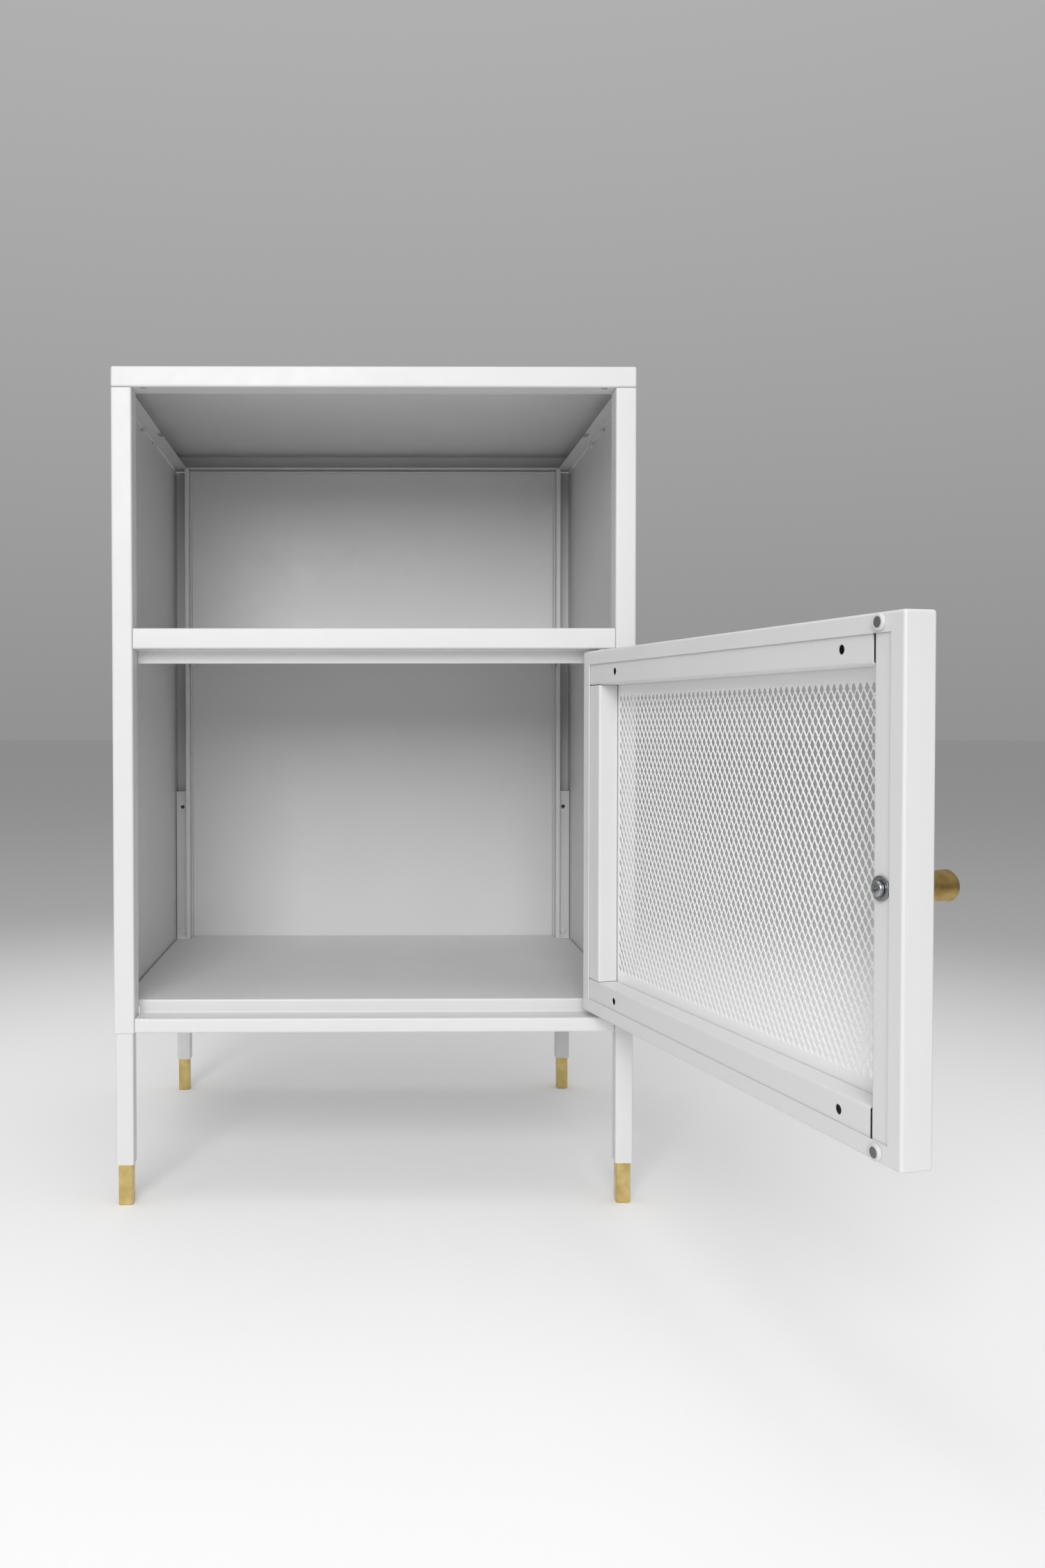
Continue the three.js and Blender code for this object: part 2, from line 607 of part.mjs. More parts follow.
// ---------------------------------------------------------------- magnets
const cupFloor = MAGNET_PROUD / 2;
const pocketR = MAGNET_R + GAP;
const cupStem = 3 * SHEET + 2 * GAP; // through the lip and the channel behind it
const cupProfile = [
  [0, -cupStem], [CUP_STEM_R, -cupStem], [CUP_STEM_R, GAP],
  [CUP_R, GAP], [CUP_R, cupFloor], [CUP_TOP_R, MAGNET_PROUD], [pocketR, MAGNET_PROUD],
  [pocketR, cupFloor], [0, cupFloor],
];
for (const [end, z] of [["bottom", MAGNET_EDGE], ["top", doorHeight - MAGNET_EDGE]]) {
  const place = [freeEdge + MAGNET_IN, DOOR_THICK, z];
  add(door, `magnet_cup_${end}`, turned(cupProfile, "y", place), NYLON);
  add(door, `magnet_${end}`, bar(MAGNET_R, "y", cupFloor + GAP, MAGNET_PROUD, place), FERRITE);
}

// ---------------------------------------------------------------- knob
const knobProfile = [
  [0, KNOB_BORE + GAP], [screwHoleR, KNOB_BORE + GAP], [screwHoleR, GAP], [KNOB_BASE_R, GAP],
  [KNOB_R, KNOB_WIDEST], [KNOB_SHOULDER_R, KNOB_LENGTH - KNOB_SHOULDER], [KNOB_END_R, KNOB_LENGTH],
  [0, KNOB_LENGTH],
];
const knobPlace = (y) => [freeEdge + knobIn, y, doorMiddle];
const washerFace = webOuter + GAP + WASHER;
const screwTip = washerFace + GAP + KNOB_BORE;
const knobScrewProfile = [
  [0, screwTip], [SCREW_R, screwTip], [SCREW_R, 0], [SCREW_HEAD_R, 0],
  ...headOutline(PAN_HEAD, SCREW_HEAD_R, -SCREW_HEAD), [0, -SCREW_HEAD],
];
const washerProfile = [
  [screwHoleR, 0], [WASHER_R, 0], [WASHER_R, WASHER], [screwHoleR, WASHER], [screwHoleR, 0],
];
add(door, "knob", turned(knobProfile, "y", knobPlace(0), true), BRASS);
add(door, "knob_washer", turned(washerProfile, "y", knobPlace(webOuter + GAP)), ZINC);
add(door, "knob_screw", turned(knobScrewProfile, "y", knobPlace(washerFace + GAP), true), ZINC);

// ---------------------------------------------------------------- hinge bushes
// A sleeve through the door's flange with a collar outside it, which takes up the hinge gap.
function bush(gap) {
  const collar = gap - GAP;
  return [
    [PIN_HOLE_R, -collar], [bushR + BUSH_COLLAR, -collar], [bushR + BUSH_COLLAR, -GAP], [bushR, -GAP],
    [bushR, BUSH_SLEEVE], [PIN_HOLE_R, BUSH_SLEEVE], [PIN_HOLE_R, -collar],
  ];
}

const bushPlace = (z) => [-PIVOT_IN, PIVOT_BACK, z];
add(door, "hinge_bush_bottom", turned(bush(DOOR_BOTTOM_GAP), "z", bushPlace(0)), NYLON);
add(door, "hinge_bush_top", turned(bush(DOOR_TOP_GAP), "z", bushPlace(doorHeight), true), NYLON);

// ---------------------------------------------------------------- assembly
for (const piece of door.children) {
  piece.geometry.translate(PIVOT_IN, -PIVOT_BACK, 0);
}
door.position.set(pivotX, PIVOT_BACK, doorBottom);
door.rotation.z = THREE.MathUtils.degToRad(DOOR_OPEN);
cabinet.add(door);
cabinet.position.set(legX, -legY, 0);

const assembly = new THREE.Group();
assembly.add(cabinet);

export default assembly;
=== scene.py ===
"""Looks of a white sheet-steel locker cabinet with a mesh door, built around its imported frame.

Lengths are in metres, in the frame's own axes: X to the right, Y to the back and Z up.
"""
import json
import math

import bmesh
import bpy
import numpy as np
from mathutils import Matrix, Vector


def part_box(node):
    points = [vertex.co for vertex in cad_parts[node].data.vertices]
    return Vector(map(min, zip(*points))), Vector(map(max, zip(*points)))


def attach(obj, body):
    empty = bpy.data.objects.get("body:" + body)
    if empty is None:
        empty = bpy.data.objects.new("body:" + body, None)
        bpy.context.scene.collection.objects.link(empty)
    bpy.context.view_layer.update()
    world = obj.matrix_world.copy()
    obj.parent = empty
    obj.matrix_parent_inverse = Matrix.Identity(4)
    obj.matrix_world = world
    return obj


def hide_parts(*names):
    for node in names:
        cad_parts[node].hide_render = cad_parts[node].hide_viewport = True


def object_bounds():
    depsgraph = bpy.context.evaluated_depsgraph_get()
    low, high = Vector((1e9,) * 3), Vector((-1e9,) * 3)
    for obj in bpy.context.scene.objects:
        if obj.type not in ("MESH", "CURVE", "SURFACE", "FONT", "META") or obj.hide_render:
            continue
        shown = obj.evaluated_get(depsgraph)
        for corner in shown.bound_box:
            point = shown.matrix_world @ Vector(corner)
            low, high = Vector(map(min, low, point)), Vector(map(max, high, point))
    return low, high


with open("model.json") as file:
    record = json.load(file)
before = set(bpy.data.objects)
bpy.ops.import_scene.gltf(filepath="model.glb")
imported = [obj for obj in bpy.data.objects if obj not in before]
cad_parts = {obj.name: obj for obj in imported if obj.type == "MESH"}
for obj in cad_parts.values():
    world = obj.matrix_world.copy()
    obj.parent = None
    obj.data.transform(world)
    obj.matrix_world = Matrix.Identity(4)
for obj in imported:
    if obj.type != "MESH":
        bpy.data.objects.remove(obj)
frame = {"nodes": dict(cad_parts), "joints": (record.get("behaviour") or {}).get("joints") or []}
cad_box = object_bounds()

bl_info = {
    "name": "Locker Cabinet",
    "version": (1, 0, 0),
    "blender": (4, 5, 0),
    "location": "View3D > Sidebar > Locker",
    "description": "Finishes a sheet-steel locker cabinet around its frame",
    "category": "Object",
}

MM = 0.001
CABINET = "cabinet"
DOOR = "door"
SHEET_NODES = ("top_panel", "side_panel_left", "side_panel_right", "back_panel", "shelf", "bottom_panel")
LEG_NODES = tuple(f"leg_{end}_{side}" for end in ("front", "rear") for side in ("left", "right"))
CHANNEL_NODES = tuple(f"door_channel_{side}" for side in ("top", "bottom", "hinge", "free"))

MERGE = 1e-6  # points nearer than this are one point
CAD_MERGE = 2e-6  # the same for the frame's own corners
WELD_GRID = 1e-7  # the mesh panel's corners are welded on a grid this fine
FLAT_ANGLE = math.radians(0.5)  # faces that differ by less are one flat face
FOLD_ANGLE = math.radians(50)  # a fold's own facets meet at less than this
FLAT_WEIGHT = 80  # how strongly large faces set the shading beside a softened edge
PATTERN_LOW, PATTERN_HIGH = 0.3, 0.7  # the middle range of a noise pattern

STAGE_MIDDLE = (0.19, 0.0, 0.0)
FLOOR_RADII = (0.0, 1.0, 4.0, 30.0)
# The floor's colour holds painted shade: pale round the cabinet, fading to a painted grey further out.
POOL_EDGE = 0.35  # the floor is at its palest up to here
POOL_END = 1.6  # and at its far grey from here
KEY_PLACE = (-0.15, -2.3, 1.35)
KEY_SIZE = 1.3
TOP_PLACE = (0.19, 0.0, 2.75)
TOP_SIZE = 1.6
SENSOR_MM = 36
NEAR_CLIP = 0.01
FAR_CLIP = 50


# ------------------------------------------------------------------ the door's own frame
HINGE = frame["joints"][0]
PIVOT = np.array(HINGE["pos_m"])
OPEN_ANGLE = math.radians(-HINGE["range_deg"][0])


def turn(points, angle):
    """Turns points about the upright pivot axis: x and y are rotated, z stays."""
    c, s = math.cos(angle), math.sin(angle)
    rotation = np.array([[c, s, 0.0], [-s, c, 0.0], [0.0, 0.0, 1.0]])
    return (np.asarray(points) - PIVOT) @ rotation + PIVOT


def node_points(node):
    """All corners of a frame node as one array."""
    mesh = frame["nodes"][node].data
    points = np.empty(len(mesh.vertices) * 3)
    mesh.vertices.foreach_get("co", points)
    return points.reshape(-1, 3)


def closed_box(node):
    """Lowest and highest corner of a door node with the door turned shut."""
    points = turn(node_points(node), -OPEN_ANGLE)
    return points.min(0), points.max(0)


def box(node):
    """Lowest and highest corner of a cabinet node, as arrays."""
    return tuple(np.array(corner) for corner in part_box(node))


# ------------------------------------------------------------------ mesh helpers
def link(name, mesh, body, material, nodes=(), smooth=35.0):
    """Makes an object of a mesh, shades it smooth below an angle in degrees, and rides it on a body."""
    piece = bpy.data.objects.new(name, mesh)
    bpy.context.scene.collection.objects.link(piece)
    mesh.shade_smooth()
    mesh.set_sharp_from_angle(angle=math.radians(smooth))
    mesh.materials.append(material)
    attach(piece, body)
    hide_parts(*nodes)
    return piece


def grid_mesh(name, points, wrap_rows=False, wrap_columns=True):
    """A mesh of quads over a grid of points (rows, columns, 3); wrapping joins the last line to the first.

    Rows that shrink to one point become a pole, because doubles are merged.
    """
    rows, columns = points.shape[:2]
    index = np.arange(rows * columns).reshape(rows, columns)
    if wrap_rows:
        index = np.vstack([index, index[:1]])
    if wrap_columns:
        index = np.hstack([index, index[:, :1]])
    quads = np.stack([index[:-1, :-1], index[:-1, 1:], index[1:, 1:], index[1:, :-1]], axis=-1).reshape(-1, 4)
    mesh = bpy.data.meshes.new(name)
    mesh.from_pydata(points.reshape(-1, 3), [], quads.tolist())
    return cleaned(mesh)


def cleaned(mesh):
    """Merges doubles, which makes the quads at a pole triangles, and points every face outwards."""
    work = bmesh.new()
    work.from_mesh(mesh)
    bmesh.ops.remove_doubles(work, verts=work.verts, dist=MERGE)
    bmesh.ops.recalc_face_normals(work, faces=work.faces)
    work.to_mesh(mesh)
    work.free()
    return mesh


def rounded(profile, radius, steps=4):
    """A profile with its inner corners rounded: each corner becomes a curve between two points
    that lie the radius, or a third of the shorter side, away from it."""
    points = np.asarray(profile, float)
    line = [points[0]]
    blend = np.linspace(0.0, 1.0, steps + 1)[:, None]
    for before, corner, after in zip(points[:-2], points[1:-1], points[2:]):
        reach = min(radius, np.linalg.norm(before - corner) / 3, np.linalg.norm(after - corner) / 3)
        start = corner + (before - corner) / np.linalg.norm(before - corner) * reach
        end = corner + (after - corner) / np.linalg.norm(after - corner) * reach
        line.extend((1 - blend) ** 2 * start + 2 * blend * (1 - blend) * corner + blend**2 * end)
    line.append(points[-1])
    return np.array(line)


AXES = {"x": (1, 2, 0), "-x": (2, 1, 0), "y": (2, 0, 1), "-y": (0, 2, 1), "z": (0, 1, 2), "-z": (1, 0, 2)}


def lay_along(points, axis, place):
    """Turns points made along +Z so that they run along an axis, and moves them to their place."""
    first, second, third = AXES[axis]
    laid = np.empty_like(points)
    laid[..., first] = points[..., 0]
    laid[..., second] = points[..., 1]
    laid[..., third] = points[..., 2] * (-1 if axis.startswith("-") else 1)
    return laid + np.asarray(place)


def turned_surface(profile, sides=64):
    """A surface of revolution: a point is (radius cos t, radius sin t, height) along the profile."""
    angles = np.linspace(0, 2 * math.pi, sides, endpoint=False)
    radius, height = profile[:, 0:1], profile[:, 1:2]
    flat = np.ones_like(angles)[None, :]
    return np.stack([radius * np.cos(angles), radius * np.sin(angles), height * flat], axis=-1)


def rounded_square(half, corner, steps=6):
    """Points round squares with rounded corners, one square for each half width in an array: each
    corner is a quarter circle."""
    quarter = np.linspace(0, math.pi / 2, steps + 1)
    angles = (quarter[None, :] + np.arange(4)[:, None] * math.pi / 2).ravel()
    signs = np.repeat(np.array([[1, 1], [-1, 1], [-1, -1], [1, -1]]), steps + 1, axis=0)
    circle = np.stack([np.cos(angles), np.sin(angles)], axis=-1)
    return signs * (half - corner)[:, None, None] + corner[:, None, None] * circle


def softened_copy(node):
    """A copy of a frame node with doubles merged and flat faces joined, ready for a fine bevel."""
    points = node_points(node)
    polygons = frame["nodes"][node].data.polygons
    corners = np.empty(len(polygons) * 3, dtype=np.int32)
    polygons.foreach_get("vertices", corners)
    mesh = bpy.data.meshes.new(node + "_finished")
    mesh.from_pydata(points, [], corners.reshape(-1, 3).tolist())
    work = bmesh.new()
    work.from_mesh(mesh)
    bmesh.ops.remove_doubles(work, verts=work.verts, dist=CAD_MERGE)
    bmesh.ops.dissolve_limit(work, angle_limit=FLAT_ANGLE, verts=work.verts, edges=work.edges)
    work.to_mesh(mesh)
    work.free()
    return mesh


def soften_edges(piece, width):
    """Rounds the edges sharper than a fold's facets and lets the large faces set the shading."""
    bevel = piece.modifiers.new("Edge", "BEVEL")
    bevel.width = width
    bevel.segments = 2
    bevel.limit_method = "ANGLE"
    bevel.angle_limit = FOLD_ANGLE
    bevel.use_clamp_overlap = True
    weighted = piece.modifiers.new("Flat faces", "WEIGHTED_NORMAL")
    weighted.keep_sharp = False
    weighted.weight = FLAT_WEIGHT


# ------------------------------------------------------------------ materials
def linear(code):
    """An sRGB hex colour as linear red, green and blue."""
    values = np.array([int(code[i:i + 2], 16) for i in (0, 2, 4)]) / 255
    return tuple(np.where(values <= 0.04045, values / 12.92, ((values + 0.055) / 1.055) ** 2.4))


def add_node(tree, kind, inputs=None, **settings):
    """Adds a node with its settings; an input is a value or the socket that feeds it."""
    node = tree.nodes.new(kind)
    for name, value in settings.items():
        setattr(node, name, value)
    for name, value in (inputs or {}).items():
        if isinstance(value, bpy.types.NodeSocket):
            tree.links.new(value, node.inputs[name])
        else:
            node.inputs[name].default_value = value
    return node


def new_material(name, **shader):
    """A material with one principled shader; returns the material, its tree, shader and coordinates."""
    material = bpy.data.materials.new(name)
    material.use_nodes = True
    tree = material.node_tree
    tree.nodes.clear()
    principled = add_node(tree, "ShaderNodeBsdfPrincipled", shader)
    add_node(tree, "ShaderNodeOutputMaterial", {"Surface": principled.outputs["BSDF"]})
    coordinates = add_node(tree, "ShaderNodeTexCoord").outputs["Object"]
    return material, tree, principled, coordinates


def noise(tree, coordinates, size, detail=2.0, stretch=(1, 1, 1)):
    """A noise pattern whose patches are about size metres across, drawn out along stretch."""
    mapping = add_node(tree, "ShaderNodeMapping", {"Vector": coordinates, "Scale": [1 / s for s in stretch]})
    texture = add_node(tree, "ShaderNodeTexNoise",
                       {"Vector": mapping.outputs["Vector"], "Scale": 1 / size, "Detail": detail})
    return texture.outputs["Fac"]


def ramp(tree, factor, low, high):
    """Maps a pattern's middle range onto the range from low to high."""
    node = add_node(tree, "ShaderNodeMapRange", {
        "Value": factor, "From Min": PATTERN_LOW, "From Max": PATTERN_HIGH, "To Min": low, "To Max": high})
    return node.outputs["Result"]


def mixed(tree, factor, first, second):
    """Two colours mixed by a pattern; a mix node's colour sockets are known by their numbers."""
    first_colour, second_colour, result = 6, 7, 2
    node = add_node(tree, "ShaderNodeMix", {
        "Factor": factor, first_colour: (*first, 1), second_colour: (*second, 1)}, data_type="RGBA")
    return node.outputs[result]


def bump(tree, principled, height, distance, strength=1.0):
    """Feeds a height pattern of that depth in metres into the shader's normal."""
    node = add_node(tree, "ShaderNodeBump", {"Height": height, "Distance": distance, "Strength": strength})
    tree.links.new(node.outputs["Normal"], principled.inputs["Normal"])


def darker(colour, share):
    """A linear colour at a share of its brightness."""
    return tuple(share * part for part in colour)


def powder_coat(name, colour, shade=None):
    """Polyester powder coat, sprayed and baked on steel: satin, with a fine orange peel. Where a
    shade is given, the coat has wide patches that are a little thinner."""
    material, tree, principled, place = new_material(name, IOR=1.5)
    if shade is None:
        principled.inputs["Base Color"].default_value = (*colour, 1)
    else:
        patches = ramp(tree, noise(tree, place, 60 * MM), 0.0, 1.0)
        tree.links.new(mixed(tree, patches, shade, colour), principled.inputs["Base Color"])
    tree.links.new(ramp(tree, noise(tree, place, 12 * MM), 0.38, 0.46), principled.inputs["Roughness"])
    # Real peel is about 0.5 mm across; it is drawn at 1.5 mm so that it still shows.
    bump(tree, principled, noise(tree, place, 1.5 * MM), 0.006 * MM)
    return material


def turned_brass(name, colour, dark):
    """Brass bar, turned and left to tone: satin, with fine rings and darker brown patches."""
    material, tree, principled, place = new_material(name, Metallic=1.0)
    patches = ramp(tree, noise(tree, place, 4 * MM, 4.0), 0.0, 1.0)
    tree.links.new(mixed(tree, patches, dark, colour), principled.inputs["Base Color"])
    # The tool's marks are about 0.14 mm apart, 1.2 mm drawn in to 0.12 of it. They cross X, which
    # lies 15 degrees off the knob's own axis while the door is open.
    lines = noise(tree, place, 1.2 * MM, 2.0, (0.12, 6, 6))
    tree.links.new(ramp(tree, lines, 0.26, 0.40), principled.inputs["Roughness"])
    bump(tree, principled, lines, 0.004 * MM)
    return material


def brushed_brass(name, colour, dark):
    """Square brass bar, drawn and brushed lengthwise: satin, with upright scratches."""
    material, tree, principled, place = new_material(name, Metallic=1.0)
    patches = ramp(tree, noise(tree, place, 9 * MM, 3.0), 0.0, 1.0)
    tree.links.new(mixed(tree, patches, dark, colour), principled.inputs["Base Color"])
    # Real scratches are about 0.1 mm wide; they are drawn at 0.6 mm so that they still show.
    lines = noise(tree, place, 0.6 * MM, 2.0, (1, 1, 25))
    tree.links.new(ramp(tree, lines, 0.28, 0.42), principled.inputs["Roughness"])
    bump(tree, principled, lines, 0.004 * MM)
    return material


def zinc_plate(name, colour, dark):
    """Bright zinc plate on steel: a cool metal with a faint crystalline mottling."""
    material, tree, principled, place = new_material(name, Metallic=1.0)
    # Real plating crystals are far below 0.1 mm; the mottling is drawn at 0.9 mm so that it shows.
    patches = ramp(tree, noise(tree, place, 0.9 * MM, 3.0), 0.0, 1.0)
    tree.links.new(mixed(tree, patches, dark, colour), principled.inputs["Base Color"])
    tree.links.new(ramp(tree, patches, 0.36, 0.24), principled.inputs["Roughness"])
    bump(tree, principled, patches, 0.003 * MM)
    return material


def moulded_nylon(name, colour):
    """Natural nylon, injection moulded: a dull white with a fine sparked grain."""
    material, tree, principled, place = new_material(name, IOR=1.53)
    # A real sparked grain is about 0.1 mm across; it is drawn at 0.5 mm so that it still shows.
    grain = noise(tree, place, 0.5 * MM, 3.0)
    tree.links.new(mixed(tree, grain, darker(colour, 0.94), colour), principled.inputs["Base Color"])
    tree.links.new(ramp(tree, grain, 0.46, 0.56), principled.inputs["Roughness"])
    bump(tree, principled, grain, 0.01 * MM)
    return material


def ground_ferrite(name, colour):
    """Sintered ferrite, ground flat: dark grey, matt and slightly grainy."""
    material, tree, principled, place = new_material(name, IOR=2.0)
    # Real ground ferrite is grainy below 0.1 mm; it is drawn at 0.35 mm so that it still shows.
    grain = noise(tree, place, 0.35 * MM, 3.0)
    tree.links.new(mixed(tree, grain, darker(colour, 0.6), colour), principled.inputs["Base Color"])
    tree.links.new(ramp(tree, grain, 0.5, 0.65), principled.inputs["Roughness"])
    bump(tree, principled, grain, 0.01 * MM)
    return material


def painted_light_floor(name, near, far):
    """Matt studio paint: a pale pool round the object that fades softly into painted shade, the horizon's
    grey.
    """
    material, tree, principled, place = new_material(name, IOR=1.4, Roughness=0.9)
    middle = add_node(tree, "ShaderNodeVectorMath", {0: place, 1: STAGE_MIDDLE}, operation="SUBTRACT")
    distance = add_node(tree, "ShaderNodeVectorMath", {0: middle.outputs["Vector"]}, operation="LENGTH")
    fade = add_node(tree, "ShaderNodeMapRange", {
        "Value": distance.outputs["Value"], "From Min": POOL_EDGE, "From Max": POOL_END},
        interpolation_type="SMOOTHSTEP")
    tree.links.new(mixed(tree, fade.outputs["Result"], near, far), principled.inputs["Base Color"])
    return material


MAKERS = {
    "powder_coat_white": (powder_coat, "coat", "coat_shade"),
    # The mesh's coat is the white coat painted lighter: painted highlight that makes the strands look lit.
    "powder_coat_mesh": (powder_coat, "mesh_painted_highlight"),
    "turned_brass": (turned_brass, "brass", "brass_dark"),
    "brushed_brass": (brushed_brass, "brass_foot", "foot_dark"),
    "zinc_plate": (zinc_plate, "zinc", "zinc_dark"),
    "moulded_nylon": (moulded_nylon, "nylon"),
    "ground_ferrite": (ground_ferrite, "ferrite"),
    # The studio floor is pale near the cabinet and carries painted shade further out.
    "studio_paint": (painted_light_floor, "floor", "floor_painted_shade"),
}


def finish(name):
    """The material of that name, made once from the colours in the settings."""
    if name not in bpy.data.materials:
        colours = bpy.context.scene.locker_finish
        maker, *settings = MAKERS[name]
        maker(name, *(tuple(getattr(colours, setting)) for setting in settings))
    return bpy.data.materials[name]


# ------------------------------------------------------------------ settings
def colour_setting(name, description, code):
    """A colour property with an sRGB hex default."""
    return bpy.props.FloatVectorProperty(
        name=name, description=description, subtype="COLOR", size=3, min=0, max=1, default=linear(code))


def length_setting(name, description, millimetres):
    """A length property with its default in millimetres."""
    return bpy.props.FloatProperty(
        name=name, description=description, subtype="DISTANCE", unit="LENGTH", min=0, precision=5,
        default=millimetres * MM)


class LockerFinish(bpy.types.PropertyGroup):
    """Colours of the finishes."""

    coat: colour_setting("Coat", "White powder coat", "DDDDDD")
    # The mesh coat is painted lighter than the body's coat, as painted highlight on the strands.
    mesh_painted_highlight: colour_setting("Mesh coat", "Powder coat on the mesh, painted lighter than the body's coat as painted highlight", "F3F3F3")
    coat_shade: colour_setting("Coat shade", "Powder coat where it is a little thinner", "DBDBDB")
    brass: colour_setting("Brass", "Turned brass of the knob", "B39A60")
    brass_foot: colour_setting("Foot brass", "Brushed brass of the feet", "E2CB8C")
    foot_dark: colour_setting("Dark foot brass", "Foot brass where it has toned", "C8AF70")
    brass_dark: colour_setting("Dark brass", "Brass where it has toned", "94764A")
    zinc: colour_setting("Zinc", "Zinc plate", "B4B6B8")
    zinc_dark: colour_setting("Dark zinc", "Zinc plate between its crystals", "8A8C8F")
    nylon: colour_setting("Nylon", "Magnet cups and bushes", "D2D2D0")
    ferrite: colour_setting("Ferrite", "Magnets", "5A5B5D")
    # The two floor colours are a pale pool near the cabinet and painted shade further out.
    floor: colour_setting("Floor", "Studio floor round the cabinet", "FAFAFA")
    floor_painted_shade: colour_setting("Far floor", "Studio floor a few steps away", "C0C0C0")


class LockerSizes(bpy.types.PropertyGroup):
    """Sizes of the fine detail."""

    edge: length_setting("Edge", "Roundness of a cut sheet edge", 0.18)
    tube_edge: length_setting("Tube edge", "Roundness of a sawn tube end", 0.25)
    strand_pitch: length_setting("Mesh pitch across", "Distance between diamonds across the door", 5.3)
    strand_rise: length_setting("Mesh pitch up", "Distance between diamonds up the door", 8.4)
    strand: length_setting("Strand", "Width of one strand of the mesh", 0.5)
    strand_thick: length_setting("Strand thickness", "Sheet thickness of the mesh", 0.5)
    strand_lift: length_setting("Strand twist", "How far a strand's edge leans out of the sheet", 0.3)
    border_side: length_setting("Mesh side border", "Plain border left and right of the diamonds", 5.0)
    border_end: length_setting("Mesh end border", "Plain border above and below the diamonds", 10.0)
    knob_edge: length_setting("Knob edge", "Rounding of the knob's widest ring", 0.35)
    recess: length_setting("Screw recess", "Depth of the cross in a screw head", 1.3)
    recess_arm: length_setting("Recess arm", "Width of one arm of the cross", 0.95)


class LockerStage(bpy.types.PropertyGroup):
    """Camera and light of the studio."""

    camera: bpy.props.FloatVectorProperty(
        name="Camera", description="Where the camera stands", subtype="TRANSLATION", unit="LENGTH",
        size=3, default=(0.1785, -0.8984, 0.3509))
    heading: bpy.props.FloatProperty(
        name="Heading", description="How far the camera turns to the right of straight ahead",
        subtype="ANGLE", default=math.radians(0.487))
    dip: bpy.props.FloatProperty(
        name="Dip", description="How far the camera looks down", subtype="ANGLE",
        default=math.radians(1.206))
    lean: bpy.props.FloatProperty(
        name="Lean", description="How far the camera leans over", subtype="ANGLE",
        default=math.radians(0.058))
    lens: bpy.props.FloatProperty(
        name="Lens", description="Focal length on a 36 mm sensor, in millimetres", min=1, default=28.2)
    shift: bpy.props.FloatVectorProperty(
        name="Shift", description="Sideways and upward shift that the framing needs", size=2,
        default=(0.0913, -0.0208))
    key: bpy.props.FloatProperty(
        name="Key light", description="Power of the large front light", unit="POWER", default=40)
    top: bpy.props.FloatProperty(
        name="Top light", description="Power of the overhead light", unit="POWER", default=15)
    sky: bpy.props.FloatProperty(
        name="Sky", description="Strength of the even light from straight above", min=0, default=0.58)
    horizon: bpy.props.FloatProperty(
        name="Horizon", description="Strength of the even light from the horizon", min=0, default=0.29)


# ------------------------------------------------------------------ expanded mesh
HOLE_BLUNT = 0.92  # how far a hole's corners reach towards the rhombus's own
HOLE_BOW = 1.05  # how far the middles of its sides bow out


def outlines(*corners):
    """Outlines (count, corners, 2) from corners (x, y), where x and y are arrays or single numbers."""
    return np.stack([np.stack(np.broadcast_arrays(*corner), axis=-1) for corner in corners], axis=1)


def facing_up(loops):
    """Outlines, each reversed where it runs clockwise: there the cross products of neighbouring
    corners add up to less than zero."""
    after = np.roll(loops, -1, axis=1)
    area = (loops[..., 0] * after[..., 1] - after[..., 0] * loops[..., 1]).sum(axis=1)
    return np.where(area[:, None, None] > 0, loops, loops[:, ::-1])


def side_fill(near, far, tip, marks):
    """What is solid along one side of the diamonds: half rhombi from the line near to the line tip,
    as two triangles each, and the border's quads from near to far. Marks are the places of corners
    and tips along the side."""
    before, middle, after = marks[1:-2:2], marks[2:-1:2], marks[3::2]
    triangles = np.concatenate([outlines((near, before), (near, middle), (tip, middle)),
                                outlines((near, middle), (near, after), (tip, middle))])
    quads = outlines((near, marks[:-1]), (near, marks[1:]), (far, marks[1:]), (far, marks[:-1]))
    return triangles, quads


def edge_fill(width, height, across, up, columns, rows):
    """The solid half and quarter rhombi along the diamonds' rectangle and the flat border outside
    it, as quads and triangles."""
    a, b = across / columns / 2, up / rows / 2
    xs = np.linspace(-across / 2, across / 2, 2 * columns + 1)
    ys = np.linspace(-up / 2, up / 2, 2 * rows + 1)
    triangles, quads = [], []
    for sign in (-1, 1):
        x, y = sign * across / 2, sign * up / 2
        side_triangles, side_quads = side_fill(x, sign * width / 2, x - sign * a, ys)
        end_triangles, end_quads = side_fill(y, sign * height / 2, y - sign * b, xs)
        triangles.extend((side_triangles, end_triangles[..., ::-1]))
        quads.extend((side_quads, end_quads[..., ::-1]))
    right, top = np.array([-1, -1, 1, 1]), np.array([-1, 1, -1, 1])
    x, y, edge_x, edge_y = right * across / 2, top * up / 2, right * width / 2, top * height / 2
    quads.append(outlines((x, y), (edge_x, y), (edge_x, edge_y), (x, edge_y)))
    triangles.append(outlines((x, y), (x - right * a, y), (x, y - top * b)))
    return facing_up(np.concatenate(quads)), facing_up(np.concatenate(triangles))


